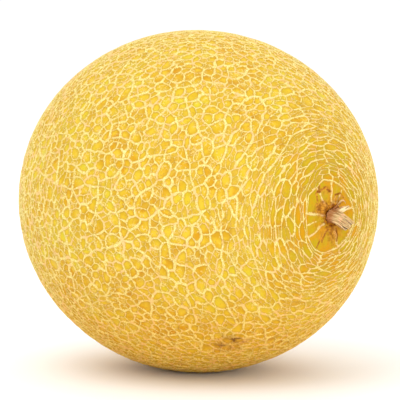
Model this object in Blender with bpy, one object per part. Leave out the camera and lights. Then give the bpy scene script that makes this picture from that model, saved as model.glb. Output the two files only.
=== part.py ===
"""A whole netted melon lying on its side, with the dry stub of its stem.

The fruit's axis lies along X with the stem end at +X, and +Z is up. The origin is on the surface that
the melon rests on, under the middle of the whole object. Everything is in metres.

The net is raised from the fruit's own skin. It is laid out as it grows on the real fruit: the skin
cracks into large cells first, each cell cracks again across its longer side, and cork heals each crack
into a rib. Here the cracking stops early, so the cells are larger than life.
"""
import math
import random

import bmesh
import bpy
from mathutils import Vector

MM = 0.001

# The fruit's form
EQUATOR_RADIUS = 67.0 * MM
HALF_LENGTH = 74.1 * MM
REST_SPOT_RADIUS = 9.7 * MM    # the small flat spot that the fruit lies on
REST_CUT_SNAP = 0.15 * MM      # corners of the net this near to its level become its own corners
LEAST_CLEARANCE = 0.1 * MM     # of the sunken skin round the spot, above its level
HOLLOW_DEPTH = 1.9 * MM        # the shallow hollow that the stem stands in
HOLLOW_SPREAD = 8.0 * MM
BLOSSOM_DENT_DEPTH = 0.8 * MM  # the slight dent at the other end
BLOSSOM_DENT_SPREAD = 9.0 * MM

# Soft swells and flats: turn round the axis from +Y towards +Z, angle from the stem end, height, spread
SWELLS = (
    (-48.0, 64.0, 0.65 * MM, 11.0),
    (-22.0, 46.0, -0.60 * MM, 9.0),
    (-76.0, 86.0, -0.45 * MM, 10.0),
    (-104.0, 104.0, 0.35 * MM, 10.0),
)

# The first, largest cells of the net, in degrees from the stem end and round the axis
NET_SEED = 14
SEAT_ANGLE = 3.3               # edge of the seat of the stem
CLEAR_ZONE_ANGLE = 10.7        # first ring of the net, round the smooth zone
CLEAR_ZONE_LEAN = 1.4          # how much wider the zone is towards -Y, and narrower towards +Y
STEM_RIB_TURNS = (12.0, 56.0, 86.0, 124.0, 172.0, 192.0, 213.0, 290.0)
LONG_RIB = 2                   # the rib round the stem that runs on past the first ring
START_RING_ANGLES = (17.0, 29.0, 46.0, 68.0, 92.0, 116.0, 139.0, 159.0, 175.0)
START_SLIP = 0.35              # how far a first cell's corner may slip round its ring, in cells
END_SLIP = 0.15                # the same for the rings nearest to the ends
SLIP_ACROSS = 12.0             # degrees that a slip of one moves a corner to or from the stem end
EVEN_FROM_ANGLE = 50.0         # degrees from the stem end where the cells no longer follow the ribs' turns

# How the cells crack
CELL_AREA = 118.0 * MM * MM    # a cell larger than this cracks again
PATIENCE = (0.85, 1.2)         # least and most that a cell's own limit differs from that
RING_STRETCH = 1.6             # how much longer than wide the cells are near the stem, less one
RING_STRETCH_REACH = 30.0      # degrees from the stem end where that has mostly faded
CRACK_TURN = 0.30              # radians that a crack may lean
CRACK_SHIFT = 0.10             # how far from the middle a crack may run, as a share of the cell
CRACK_SNAP = 0.05              # a crack ends in a corner nearer than this share of the cell
WAVES = 9                      # slow waves that bend the long lines of the net
WAVE_SIZE = 0.016              # how far each wave moves them, on a sphere of radius one
WAVE_TURNS = (3.0, 9.0)        # radians of wave for each radian of the sphere, least and most
FULL_WAVES_ANGLE = 40.0        # degrees from the stem end where the waves have their full size
SETTLING = (0.6, 0.5)          # share of the way that each pass moves a corner between its neighbours
SHORTEST_EDGE = 1.5 * MM       # shorter sides of a cell, and of the resting spot, are closed up

# The raised ribs
RIB_HALF_WIDTH = 0.95 * MM
RIB_HEIGHT = 0.95 * MM
FADE_FROM = 18.0 * MM          # the ribs grow lower from this distance to the resting point
FADE_TO = 10.5 * MM            # and have no height nearer than this
NARROWER = 0.85                # in a cell too small for its ribs they are made narrower by steps of this
LEAST_SIDE_LEFT = 0.15         # until this share of each side of the cell is left between them

# The stub of the stem
STEM_GAP = 0.3 * MM
STEM_SIDES = 30
STEM_RIDGES = 10
STEM_RIDGE_DEPTH = 0.14        # as a share of the radius
STEM_RINGS = 12
STEM_ROUTE = (                 # middle line from the seat: along the axis, sideways, up
    Vector((0.0, 0.0, 0.0)) * MM,
    Vector((1.7, 0.6, -0.4)) * MM,
    Vector((3.2, 1.9, -1.6)) * MM,
    Vector((4.4, 3.4, -3.1)) * MM,
    Vector((5.2, 5.0, -4.7)) * MM,
)
STEM_RADII = (3.7 * MM, 3.3 * MM, 2.9 * MM, 2.5 * MM, 2.0 * MM)
STEM_FLATNESS = 0.84           # the dried stub is wider than it is thick

STEM_END = Vector((1.0, 0.0, 0.0))
REST_LEVEL = -math.sqrt(EQUATOR_RADIUS ** 2 - REST_SPOT_RADIUS ** 2)


def clear_scene():
    for old in list(bpy.data.objects):
        bpy.data.objects.remove(old, do_unlink=True)


def smooth_step(low, high, value):
    share = min(1.0, max(0.0, (value - low) / (high - low)))
    return share * share * (3.0 - 2.0 * share)


def direction(turn, angle):
    """Unit vector at an angle from the stem end, turned round the axis from +Y towards +Z, in degrees."""
    turn, angle = math.radians(turn), math.radians(angle)
    return Vector((math.cos(angle), math.sin(angle) * math.cos(turn), math.sin(angle) * math.sin(turn)))


def angle_from_stem(unit):
    return math.degrees(unit.angle(STEM_END))


def clear_zone_angle(turn):
    """Angle from the stem end to the first ring of the net, which is not quite round."""
    return CLEAR_ZONE_ANGLE - CLEAR_ZONE_LEAN * math.cos(math.radians(turn))


def fruit_radius(unit):
    """Distance from the fruit's centre to the tops of its net, in the direction of a unit vector."""
    across = unit.y * unit.y + unit.z * unit.z
    radius = 1.0 / math.sqrt(unit.x * unit.x / HALF_LENGTH ** 2 + across / EQUATOR_RADIUS ** 2)
    from_axis = radius * math.sqrt(across)
    if unit.x > 0.0:
        radius -= HOLLOW_DEPTH * math.exp(-(from_axis / HOLLOW_SPREAD) ** 2)
    else:
        radius -= BLOSSOM_DENT_DEPTH * math.exp(-(from_axis / BLOSSOM_DENT_SPREAD) ** 2)
    for turn, angle, height, spread in SWELLS:
        away = math.degrees(unit.angle(direction(turn, angle)))
        radius += height * math.exp(-(away / spread) ** 2)
    return radius


def rib_height(unit):
    """How far the ribs stand above the skin: less at the resting spot, where the net fades out."""
    if unit.z > 0.0:
        return RIB_HEIGHT
    from_rest = math.hypot(unit.x, unit.y) * EQUATOR_RADIUS
    return RIB_HEIGHT * smooth_step(FADE_TO, FADE_FROM, from_rest)


def ring_pairs(ring):
    return list(zip(ring, ring[1:] + ring[:1]))


def start_cells(mesh, rng):
    """The seat of the stem, the smooth sectors round it and the first large cells, on a unit sphere."""
    turns = []
    for first, second in ring_pairs(list(STEM_RIB_TURNS)):
        turns += [first, first + ((second - first) % 360.0) / 2.0]
    rings = [[mesh.verts.new(direction(turn, SEAT_ANGLE)) for turn in turns],
             [mesh.verts.new(direction(turn, clear_zone_angle(turn))) for turn in turns]]
    for angle in START_RING_ANGLES:
        slip = END_SLIP + (START_SLIP - END_SLIP) * math.sin(math.radians(angle)) ** 2
        evenness = smooth_step(SEAT_ANGLE, EVEN_FROM_ANGLE, angle)
        ring = []
        for index, turn in enumerate(turns):
            even_turn = turns[0] + 360.0 * index / len(turns)
            turn = turn + (even_turn - turn) * evenness + rng.uniform(-slip, slip) * 360.0 / len(turns)
            ring.append(mesh.verts.new(direction(turn, angle + rng.uniform(-slip, slip) * SLIP_ACROSS)))
        rings.append(ring)
    for ring in rings:
        for first, second in ring_pairs(ring):
            mesh.edges.new((first, second))
    bmesh.ops.contextual_create(mesh, geom=rings[0])
    bmesh.ops.contextual_create(mesh, geom=rings[-1])
    for inner, outer in zip(rings, rings[1:]):
        loops = [mesh.edges.get(pair) for ring in (inner, outer) for pair in ring_pairs(ring)]
        bmesh.ops.bridge_loops(mesh, edges=loops)
    # Between two rings every second dividing line is left out, by turns, so the cells lie like bricks
    spare = []
    for level, (inner, outer) in enumerate(zip(rings, rings[1:])):
        for index in range(1 - level % 2, len(inner), 2):
            if (level, index) != (1, 2 * LONG_RIB):
                spare.append(mesh.edges.get((inner[index], outer[index])))
    bmesh.ops.dissolve_edges(mesh, edges=spare, use_verts=False)
    bmesh.ops.recalc_face_normals(mesh, faces=mesh.faces)


def net_frame(unit):
    """Unit vectors along the ring round the stem end, and away from the stem end."""
    ring = STEM_END.cross(unit).normalized()
    return ring, ring.cross(unit)


def crack_cell(mesh, face, middle, rng):
    """Cuts a cell in two across its longer side, and gives its two halves, or nothing if it won't cut."""
    ring, away = net_frame(middle)
    stretch = 1.0 + RING_STRETCH * math.exp(-(angle_from_stem(middle) / RING_STRETCH_REACH) ** 2)
    spread_ring = spread_both = spread_away = 0.0
    for edge in face.edges:
        offset = (edge.verts[0].co + edge.verts[1].co) * 0.5 - middle
        along, out, weight = offset.dot(ring) / stretch, offset.dot(away), edge.calc_length()
        spread_ring += along * along * weight
        spread_both += along * out * weight
        spread_away += out * out * weight
    lean = 0.5 * math.atan2(2.0 * spread_both, spread_ring - spread_away)
    lean += rng.uniform(-CRACK_TURN, CRACK_TURN)
    across = (ring * (math.cos(lean) / stretch) + away * math.sin(lean)).normalized()
    reach = [(vert.co - middle).dot(across) for vert in face.verts]
    width = max(reach) - min(reach)
    shift = 0.5 * (max(reach) + min(reach)) + rng.uniform(-CRACK_SHIFT, CRACK_SHIFT) * width
    old_edges = set(face.edges)
    cut = bmesh.ops.bisect_plane(
        mesh, geom=[face] + list(face.edges) + list(face.verts), dist=CRACK_SNAP * width,
        plane_co=middle + across * shift, plane_no=across)
    for item in cut["geom_cut"]:
        if isinstance(item, bmesh.types.BMVert):
            item.co.normalize()
    if not any(isinstance(item, bmesh.types.BMEdge) and item not in old_edges for item in cut["geom_cut"]):
        return []
    return [item for item in cut["geom"] if isinstance(item, bmesh.types.BMFace)]


def crack_cells(mesh, cells, cell_area, rng):
    """Cracks every cell that is larger than the given area, again and again."""
    while cells:
        halves = []
        for face in cells:
            middle = face.calc_center_bounds().normalized()
            patience = rng.uniform(*PATIENCE)
            if face.calc_area() * fruit_radius(middle) ** 2 > cell_area * patience:
                halves += crack_cell(mesh, face, middle, rng)
        cells = halves


def close_short_edges(mesh, edges):
    bmesh.ops.collapse(mesh, edges=[edge for edge in edges if edge.calc_length() < SHORTEST_EDGE])


def open_resting_spot(mesh):
    """Cuts the fruit off level at its flat spot, closes the cut with one face, and gives that face."""
    cut = bmesh.ops.bisect_plane(
        mesh, geom=list(mesh.verts) + list(mesh.edges) + list(mesh.faces), dist=REST_CUT_SNAP,
        plane_co=(0.0, 0.0, REST_LEVEL), plane_no=(0.0, 0.0, -1.0), clear_outer=True)
    rim = [item for item in cut["geom_cut"] if isinstance(item, bmesh.types.BMEdge)]
    spot = max(bmesh.ops.holes_fill(mesh, edges=rim)["faces"], key=lambda face: face.calc_area())
    corners = set(spot.verts)
    close_short_edges(mesh, [edge for edge in mesh.edges if corners.intersection(edge.verts)])
    bmesh.ops.bisect_edges(mesh, edges=list(spot.edges), cuts=1)
    for vert in spot.verts:
        heading = Vector((vert.co.x, vert.co.y, 0.0)).normalized()
        reach = REST_SPOT_RADIUS / math.hypot(heading.x * EQUATOR_RADIUS / HALF_LENGTH, heading.y)
        vert.co = (heading.x * reach, heading.y * reach, REST_LEVEL)
    return spot


def settle_net(mesh, free, rng):
    """Bends the long lines of the net by slow waves, and lets each corner settle between its neighbours."""
    waves = []
    for _ in range(WAVES):
        heading = Vector([rng.gauss(0.0, 1.0) for _ in range(3)]).normalized() * rng.uniform(*WAVE_TURNS)
        push = Vector([rng.gauss(0.0, 1.0) for _ in range(3)]).normalized() * WAVE_SIZE
        waves.append((heading, push, rng.uniform(0.0, 2.0 * math.pi)))
    for vert in free:
        bend = Vector()
        for heading, push, phase in waves:
            bend += push * math.sin(heading.dot(vert.co) + phase)
        strength = smooth_step(CLEAR_ZONE_ANGLE, FULL_WAVES_ANGLE, angle_from_stem(vert.co))
        vert.co = (vert.co + bend * strength).normalized()
    for share in SETTLING:
        bmesh.ops.smooth_vert(
            mesh, verts=free, factor=share, use_axis_x=True, use_axis_y=True, use_axis_z=True)
        for vert in free:
            vert.co.normalize()


def inset_corners(corners, half_width):
    """Corners of a flat outline moved inwards so that each side moves by the rib's half width."""
    count = len(corners)
    sides = [corners[(index + 1) % count] - corners[index] for index in range(count)]
    turned = sum(corners[index].cross(corners[(index + 1) % count]).z for index in range(count))
    sign = 1.0 if turned > 0.0 else -1.0
    inward = [Vector((-side.y, side.x, 0.0)).normalized() * sign for side in sides]
    for attempt in range(12):
        width = half_width * NARROWER ** attempt
        moved = []
        for index, corner in enumerate(corners):
            both = inward[index - 1] + inward[index]
            step = both * (2.0 * width / max(both.length_squared, 0.6))
            moved.append(corner + step)
        kept = [(moved[(index + 1) % count] - moved[index]).dot(side) / side.length_squared
                for index, side in enumerate(sides)]
        if min(kept) > LEAST_SIDE_LEFT:
            return moved
    middle = sum(corners, Vector()) / count
    return [corner.lerp(middle, 0.35) for corner in corners]


def sink_cells(mesh, cells):
    """Insets each cell and sinks its inner outline, which leaves the ribs standing between the cells."""
    bmesh.ops.inset_individual(mesh, faces=cells, thickness=0.05 * MM)
    for face in cells:
        inner = list(face.verts)
        own_edges = set(face.edges)
        outer = [next(edge.other_vert(vert) for edge in vert.link_edges if edge not in own_edges)
                 for vert in inner]
        middle = sum((vert.co for vert in outer), Vector()) / len(outer)
        up = middle.normalized()
        side = up.orthogonal().normalized()
        other = up.cross(side)
        flat = [Vector(((vert.co - middle).dot(side), (vert.co - middle).dot(other), 0.0)) for vert in outer]
        for vert, spot in zip(inner, inset_corners(flat, RIB_HALF_WIDTH)):
            unit = (middle + side * spot.x + other * spot.y).normalized()
            vert.co = unit * (fruit_radius(unit) - rib_height(unit))
            vert.co.z = max(vert.co.z, REST_LEVEL + LEAST_CLEARANCE)


def make_material(name, color, roughness):
    material = bpy.data.materials.new(name)
    material.use_nodes = True
    shader = material.node_tree.nodes["Principled BSDF"]
    shader.inputs["Base Color"].default_value = (*color, 1.0)
    shader.inputs["Roughness"].default_value = roughness
    shader.inputs["Metallic"].default_value = 0.0
    return material


def add_object(name, mesh, material):
    data = bpy.data.meshes.new(name)
    bmesh.ops.recalc_face_normals(mesh, faces=mesh.faces)
    mesh.to_mesh(data)
    mesh.free()
    data.materials.append(material)
    part = bpy.data.objects.new(name, data)
    bpy.context.scene.collection.objects.link(part)
    return part


def build_melon():
    mesh = bmesh.new()
    rng = random.Random(NET_SEED)
    start_cells(mesh, rng)
    smooth_zone = [face for face in mesh.faces
                   if angle_from_stem(face.calc_center_bounds()) < CLEAR_ZONE_ANGLE]
    fixed = {vert for face in smooth_zone for vert in face.verts}
    crack_cells(mesh, [face for face in mesh.faces if face not in smooth_zone], CELL_AREA, rng)
    for vert in {vert for face in smooth_zone for vert in face.verts} - fixed:
        turn = math.degrees(math.atan2(vert.co.z, vert.co.y))
        vert.co = direction(turn, clear_zone_angle(turn))
        fixed.add(vert)
    settle_net(mesh, [vert for vert in mesh.verts if vert not in fixed], rng)
    for vert in mesh.verts:
        vert.co = vert.co * fruit_radius(vert.co)
    close_short_edges(mesh, [edge for edge in mesh.edges if not fixed.intersection(edge.verts)])
    spot = open_resting_spot(mesh)
    seat = min(mesh.faces, key=lambda face: angle_from_stem(face.calc_center_median()))
    print("melon: cells", len(mesh.faces), "edges", len(mesh.edges))
    sink_cells(mesh, [face for face in mesh.faces if face not in (seat, spot)])
    print("melon: triangles", sum(len(face.verts) - 2 for face in mesh.faces))
    return add_object("melon", mesh, make_material("golden netted skin", (0.80, 0.56, 0.12), 0.5))


def along_route(route, radii, share):
    """Point, heading and radius at a share of the way along a smooth curve through the route's points."""
    place = share * (len(route) - 1)
    index = min(int(place), len(route) - 2)
    part = place - index
    start, end = route[index], route[index + 1]
    before = route[max(index - 1, 0)]
    after = route[min(index + 2, len(route) - 1)]
    leave, arrive = (end - before) * 0.5, (after - start) * 0.5
    squared, cubed = part * part, part ** 3
    point = (start * (2 * cubed - 3 * squared + 1) + leave * (cubed - 2 * squared + part)
             + end * (3 * squared - 2 * cubed) + arrive * (cubed - squared))
    heading = (start * (6 * squared - 6 * part) + leave * (3 * squared - 4 * part + 1)
               + end * (6 * part - 6 * squared) + arrive * (3 * squared - 2 * part))
    radius = radii[index] * (1 - part) + radii[index + 1] * part
    return point, heading.normalized(), radius


def build_stem(seat_x):
    mesh = bmesh.new()
    base = bmesh.ops.create_circle(mesh, cap_ends=True, radius=1.0, segments=STEM_SIDES)
    cap = base["verts"][0].link_faces[0]
    ring = list(cap.verts)
    for level in range(STEM_RINGS):
        share = level / (STEM_RINGS - 1)
        if level:
            pulled = bmesh.ops.extrude_discrete_faces(mesh, faces=[cap])
            cap = pulled["faces"][0]
            ring = list(cap.verts)
        point, heading, radius = along_route(STEM_ROUTE, STEM_RADII, share)
        if level == 0:
            heading = STEM_END.copy()
        thick = (Vector((0.0, 0.0, 1.0)) - heading * heading.z).normalized()
        wide = thick.cross(heading)
        for index, vert in enumerate(ring):
            turn = 2.0 * math.pi * index / STEM_SIDES
            ridge = 1.0 - STEM_RIDGE_DEPTH * smooth_step(0.0, 0.3, share) * (
                0.5 - 0.5 * math.cos(STEM_RIDGES * turn + 1.5 * share))
            out = wide * math.cos(turn) + thick * (math.sin(turn) * STEM_FLATNESS)
            vert.co = point + out * (radius * ridge)
            vert.co.x += seat_x + STEM_GAP
    bmesh.ops.holes_fill(mesh, edges=[edge for edge in mesh.edges if edge.is_boundary])
    print("stem: triangles", sum(len(face.verts) - 2 for face in mesh.faces))
    return add_object("stem", mesh, make_material("dry stem", (0.50, 0.38, 0.24), 0.85))


def set_on_surface(parts):
    """Moves the meshes so that the origin is at the bottom, under the middle of the whole object."""
    corners = [vert.co for part in parts for vert in part.data.vertices]
    low = Vector([min(corner[axis] for corner in corners) for axis in range(3)])
    high = Vector([max(corner[axis] for corner in corners) for axis in range(3)])
    foot = Vector(((low.x + high.x) / 2.0, (low.y + high.y) / 2.0, low.z))
    for part in parts:
        for vert in part.data.vertices:
            vert.co -= foot
        part.data.shade_smooth()
        part.data.set_sharp_from_angle(angle=math.radians(35.0))
    print("size in mm", [round(length / MM, 2) for length in high - low], "centre of the fruit",
          [round(-value / MM, 3) for value in foot])


def main():
    clear_scene()
    melon = build_melon()
    seat_x = fruit_radius(direction(0.0, SEAT_ANGLE)) * math.cos(math.radians(SEAT_ANGLE))
    stem = build_stem(seat_x)
    set_on_surface([melon, stem])


main()
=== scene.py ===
# %% [markdown]
# # A netted melon
#
# A whole melon lies on its side: golden skin under a raised net of cream-coloured cork, a smooth hollow
# round the stem, and the dry stub of the stem itself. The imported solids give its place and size, and
# this script builds the two finished pieces around them: the fruit with its net, and the stub.

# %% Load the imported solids
import math
import random

import bmesh
import bpy
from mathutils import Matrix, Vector


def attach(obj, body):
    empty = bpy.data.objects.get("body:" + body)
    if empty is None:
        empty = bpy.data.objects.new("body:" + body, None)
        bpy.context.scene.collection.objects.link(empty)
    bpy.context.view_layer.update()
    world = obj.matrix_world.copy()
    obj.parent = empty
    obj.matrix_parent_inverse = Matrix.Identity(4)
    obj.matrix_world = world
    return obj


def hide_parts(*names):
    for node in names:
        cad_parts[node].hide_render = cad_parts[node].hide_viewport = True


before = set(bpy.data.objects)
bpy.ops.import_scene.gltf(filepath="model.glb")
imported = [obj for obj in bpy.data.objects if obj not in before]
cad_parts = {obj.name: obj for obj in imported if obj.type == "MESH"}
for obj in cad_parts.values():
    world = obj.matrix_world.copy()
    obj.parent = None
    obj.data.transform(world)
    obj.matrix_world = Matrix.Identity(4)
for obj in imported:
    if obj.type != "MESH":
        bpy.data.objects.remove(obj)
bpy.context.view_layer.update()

MM = 0.001


# %% [markdown]
# ## Camera, light and floor
#
# The photograph looks a little down on the fruit from its side, so that the stem shows on the right. A
# long lens from just over a metre away keeps the outline as round as it is there. The light is the soft,
# bright light of a product picture: a white surrounding, a large soft lamp from the upper left, a low
# board in front that lights the lower half, and a weaker lamp behind for the side that the photograph
# doesn't show. The floor is plain, matt and pale, and throws light back up under the fruit.

# %% The camera
PHOTO_PIXELS, PHOTO_MM_PER_PIXEL = 400, 0.39177
CAMERA_DISTANCE = 1.1
CAMERA_TURN, CAMERA_RISE = math.radians(46.43), math.radians(6.05)
# How far the middle of the photograph lies to the right of the fruit's centre, and above it
AIM_RIGHT, AIM_UP = 1.02 * MM, 0.43 * MM
SENSOR, CLIPPING = 36.0, (0.05, 50.0)
FRUIT_CENTRE = Vector((-3.271, 0.083, 66.294)) * MM


def add_object(name, data):
    """A new object in the scene, at the origin."""
    thing = bpy.data.objects.new(name, data)
    bpy.context.scene.collection.objects.link(thing)
    return thing


back = Vector((math.sin(CAMERA_TURN) * math.cos(CAMERA_RISE), -math.cos(CAMERA_TURN) * math.cos(CAMERA_RISE),
               math.sin(CAMERA_RISE)))
right = Vector((math.cos(CAMERA_TURN), math.sin(CAMERA_TURN), 0.0))
aim = FRUIT_CENTRE + right * AIM_RIGHT + back.cross(right) * AIM_UP

camera_data = bpy.data.cameras.new("camera")
camera = add_object("camera", camera_data)
camera.location = aim + back * CAMERA_DISTANCE
camera.rotation_euler = back.to_track_quat("Z", "Y").to_euler()
camera_data.sensor_width = SENSOR
camera_data.lens = SENSOR * CAMERA_DISTANCE / (PHOTO_PIXELS * PHOTO_MM_PER_PIXEL * MM)
camera_data.clip_start, camera_data.clip_end = CLIPPING
bpy.context.scene.camera = camera
print("lens", round(camera_data.lens, 1), "mm")

# %% Floor, surrounding and lamps
FLOOR_RADIUS, FLOOR_SEGMENTS = 12.0, 96
SURROUNDING = 1.08
# Each lamp's width and height in m, its power in W, and its place from the aim in m: back, right and up
LAMPS = {
    "key": ((0.9, 0.9), 3.4, (0.50, -0.42, 0.95)),
    "board": ((0.9, 0.24), 1.9, (0.85, 0.35, 0.06)),
    "fill": ((1.0, 1.0), 1.7, (-0.75, -0.15, 0.65)),
}


def linear(code):
    """The linear colour of an sRGB hex code."""
    values = [int(code[index:index + 2], 16) / 255.0 for index in (1, 3, 5)]
    return tuple(v / 12.92 if v <= 0.04045 else ((v + 0.055) / 1.055) ** 2.4 for v in values) + (1.0,)


def add_node(tree, kind, settings=None, inputs=None):
    """A new node with its settings; an input is a value, a socket, or a node whose first output is taken."""
    node = tree.nodes.new(kind)
    for name, value in (settings or {}).items():
        setattr(node, name, value)
    for name, value in (inputs or {}).items():
        if isinstance(value, bpy.types.Node):
            value = next(output for output in value.outputs if output.enabled)
        if isinstance(value, bpy.types.NodeSocket):
            tree.links.new(value, node.inputs[name])
        else:
            node.inputs[name].default_value = value
    return node


def new_material(name, roughness, ior, specular):
    """A material with only its surface shader, and that shader."""
    material = bpy.data.materials.new(name)
    material.use_nodes = True
    shader = material.node_tree.nodes["Principled BSDF"]
    shader.inputs["Roughness"].default_value = roughness
    shader.inputs["IOR"].default_value = ior
    shader.inputs["Specular IOR Level"].default_value = specular
    return material, shader


def mesh_object(name, mesh):
    """A new object at the origin from a bmesh, with smooth faces; the bmesh is freed."""
    for face in mesh.faces:
        face.smooth = True
    data = bpy.data.meshes.new(name)
    mesh.to_mesh(data)
    mesh.free()
    return add_object(name, data)


floor_mesh = bmesh.new()
bmesh.ops.create_circle(floor_mesh, cap_ends=True, radius=FLOOR_RADIUS, segments=FLOOR_SEGMENTS)
floor = mesh_object("floor", floor_mesh)
# Matt and without a highlight, so that only the soft shadow shows on it
floor_material, floor_shader = new_material("matt white studio floor", 0.9, 1.45, 0.0)
floor_shader.inputs["Base Color"].default_value = linear("#FBFBFB")
floor.data.materials.append(floor_material)

world = bpy.data.worlds.new("white surrounding")
bpy.context.scene.world = world
world.use_nodes = True
world.node_tree.nodes["Background"].inputs["Color"].default_value = (1.0, 1.0, 1.0, 1.0)
world.node_tree.nodes["Background"].inputs["Strength"].default_value = SURROUNDING

for name, (size, power, (backwards, sideways, upwards)) in LAMPS.items():
    lamp_data = bpy.data.lights.new(name, "AREA")
    lamp_data.shape = "RECTANGLE"
    lamp_data.size, lamp_data.size_y = size
    lamp_data.energy = power
    lamp = add_object(name, lamp_data)
    lamp.location = aim + back * backwards + right * sideways + Vector((0.0, 0.0, upwards))
    lamp.rotation_euler = (lamp.location - aim).to_track_quat("Z", "Y").to_euler()
    print("lamp", name, "at", [round(v, 2) for v in lamp.location])

bpy.context.scene.view_settings.view_transform = "Standard"

# %% [markdown]
# ## The form of the fruit
#
# A melon of this kind is almost a ball, a little longer than wide. One formula gives the distance from
# the middle of the fruit to the tops of its net in any direction: a long ball, a shallow hollow at the
# stem, a slight dent at the other end, and a few soft swells and flats. Everything that is on the fruit
# is placed through it, so nothing floats or sinks.

# %% The form of the fruit
EQUATOR_RADIUS = 67.0 * MM
HALF_LENGTH = 74.1 * MM
REST_LEVEL = -FRUIT_CENTRE.z
HOLLOW_DEPTH, HOLLOW_SPREAD = 1.9 * MM, 8.0 * MM
BLOSSOM_DENT_DEPTH, BLOSSOM_DENT_SPREAD = 0.8 * MM, 9.0 * MM
STEM_END = Vector((1.0, 0.0, 0.0))


def direction(turn, angle):
    """Unit vector at an angle from the stem end, turned round the axis from +Y towards +Z, in degrees."""
    turn, angle = math.radians(turn), math.radians(angle)
    return Vector((math.cos(angle), math.sin(angle) * math.cos(turn), math.sin(angle) * math.sin(turn)))


# Soft swells and flats: the middle of each, its height, and how far it spreads in degrees
SWELLS = (
    (direction(-48.0, 64.0), 0.65 * MM, 11.0),
    (direction(-22.0, 46.0), -0.60 * MM, 9.0),
    (direction(-76.0, 86.0), -0.45 * MM, 10.0),
    (direction(-104.0, 104.0), 0.35 * MM, 10.0),
)


def fruit_radius(unit):
    """Distance from the fruit's centre to the tops of its net, in the direction of a unit vector."""
    across = unit.y * unit.y + unit.z * unit.z
    radius = 1.0 / math.sqrt(unit.x * unit.x / HALF_LENGTH ** 2 + across / EQUATOR_RADIUS ** 2)
    from_axis = radius * math.sqrt(across)
    if unit.x > 0.0:
        radius -= HOLLOW_DEPTH * math.exp(-(from_axis / HOLLOW_SPREAD) ** 2)
    else:
        radius -= BLOSSOM_DENT_DEPTH * math.exp(-(from_axis / BLOSSOM_DENT_SPREAD) ** 2)
    for middle, height, spread in SWELLS:
        away = math.degrees(unit.angle(middle))
        radius += height * math.exp(-(away / spread) ** 2)
    return radius


def smooth_step(low, high, value):
    """0 up to low, 1 from high on, and a smooth change between; low may be the larger one."""
    share = min(1.0, max(0.0, (value - low) / (high - low)))
    return share * share * (3.0 - 2.0 * share)


def angle_from_stem(unit):
    """Angle between a direction from the fruit's centre and the stem end, in degrees."""
    return math.degrees(unit.angle(STEM_END))


print("equator", EQUATOR_RADIUS * 2 / MM, "mm across; stem end", round(fruit_radius(STEM_END) / MM, 2),
      "mm from the centre")

# %% [markdown]
# ## The first cells of the net
#
# While the fruit grows, its skin stops stretching and cracks, and cork heals each crack into a rib. The
# net is laid out in the same order here, on a sphere of radius one. The first cracks run round the stem
# in rings and away from it in lines. The rings are made as loops of corners, joined by bridge_loops,
# and every second line between two rings is dissolved, so the cells lie like bricks. All random values
# of the net come from one seeded generator, so each run gives the same net, and the large cells are the
# ones that the solid has.

# %% The first cells of the net
NET_SEED = 14
SEAT_ANGLE = 3.3
CLEAR_ZONE_ANGLE, CLEAR_ZONE_LEAN = 10.7, 1.4
STEM_RIB_TURNS = (12.0, 56.0, 86.0, 124.0, 172.0, 192.0, 213.0, 290.0)
# The rib of this number goes on outwards, past the first ring
LONG_RIB = 2
START_RING_ANGLES = (17.0, 29.0, 46.0, 68.0, 92.0, 116.0, 139.0, 159.0, 175.0)
START_SLIP, END_SLIP, SLIP_ACROSS = 0.35, 0.15, 12.0
EVEN_FROM_ANGLE = 50.0
FIRST_CRACK = 16.0 * MM


def clear_zone_angle(turn):
    """Angle from the stem end to the first ring of the net, which is not quite round."""
    return CLEAR_ZONE_ANGLE - CLEAR_ZONE_LEAN * math.cos(math.radians(turn))


def ring_pairs(ring):
    """Each item of a closed ring with the one after it."""
    return list(zip(ring, ring[1:] + ring[:1]))


def start_cells(mesh, rng):
    """The seat of the stem, the smooth sectors round it and the first large cells, on a unit sphere."""
    turns = []
    for first, second in ring_pairs(list(STEM_RIB_TURNS)):
        turns += [first, first + ((second - first) % 360.0) / 2.0]
    rings = [[mesh.verts.new(direction(turn, SEAT_ANGLE)) for turn in turns],
             [mesh.verts.new(direction(turn, clear_zone_angle(turn))) for turn in turns]]
    for angle in START_RING_ANGLES:
        slip = END_SLIP + (START_SLIP - END_SLIP) * math.sin(math.radians(angle)) ** 2
        evenness = smooth_step(SEAT_ANGLE, EVEN_FROM_ANGLE, angle)
        ring = []
        for index, turn in enumerate(turns):
            even_turn = turns[0] + 360.0 * index / len(turns)
            turn = turn + (even_turn - turn) * evenness + rng.uniform(-slip, slip) * 360.0 / len(turns)
            ring.append(mesh.verts.new(direction(turn, angle + rng.uniform(-slip, slip) * SLIP_ACROSS)))
        rings.append(ring)
    for ring in rings:
        for first, second in ring_pairs(ring):
            mesh.edges.new((first, second))
    bmesh.ops.contextual_create(mesh, geom=rings[0])
    bmesh.ops.contextual_create(mesh, geom=rings[-1])
    for inner, outer in zip(rings, rings[1:]):
        loops = [mesh.edges.get(pair) for ring in (inner, outer) for pair in ring_pairs(ring)]
        bmesh.ops.bridge_loops(mesh, edges=loops)
    spare = []
    for level, (inner, outer) in enumerate(zip(rings, rings[1:])):
        for index in range(1 - level % 2, len(inner), 2):
            if (level, index) != (1, 2 * LONG_RIB):
                spare.append(mesh.edges.get((inner[index], outer[index])))
    bmesh.ops.dissolve_edges(mesh, edges=spare, use_verts=False)
    bmesh.ops.recalc_face_normals(mesh, faces=mesh.faces)


net = bmesh.new()
# The net remembers, for each line, how large the cell was when that line cracked
parent_size = net.edges.layers.float.new("parent_size")
rng = random.Random(NET_SEED)
start_cells(net, rng)
for edge in net.edges:
    edge[parent_size] = FIRST_CRACK
smooth_zone = [face for face in net.faces if angle_from_stem(face.calc_center_bounds()) < CLEAR_ZONE_ANGLE]
fixed = {vert for face in smooth_zone for vert in face.verts}
print("first cells", len(net.faces), "of which round the stem", len(smooth_zone))

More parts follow.
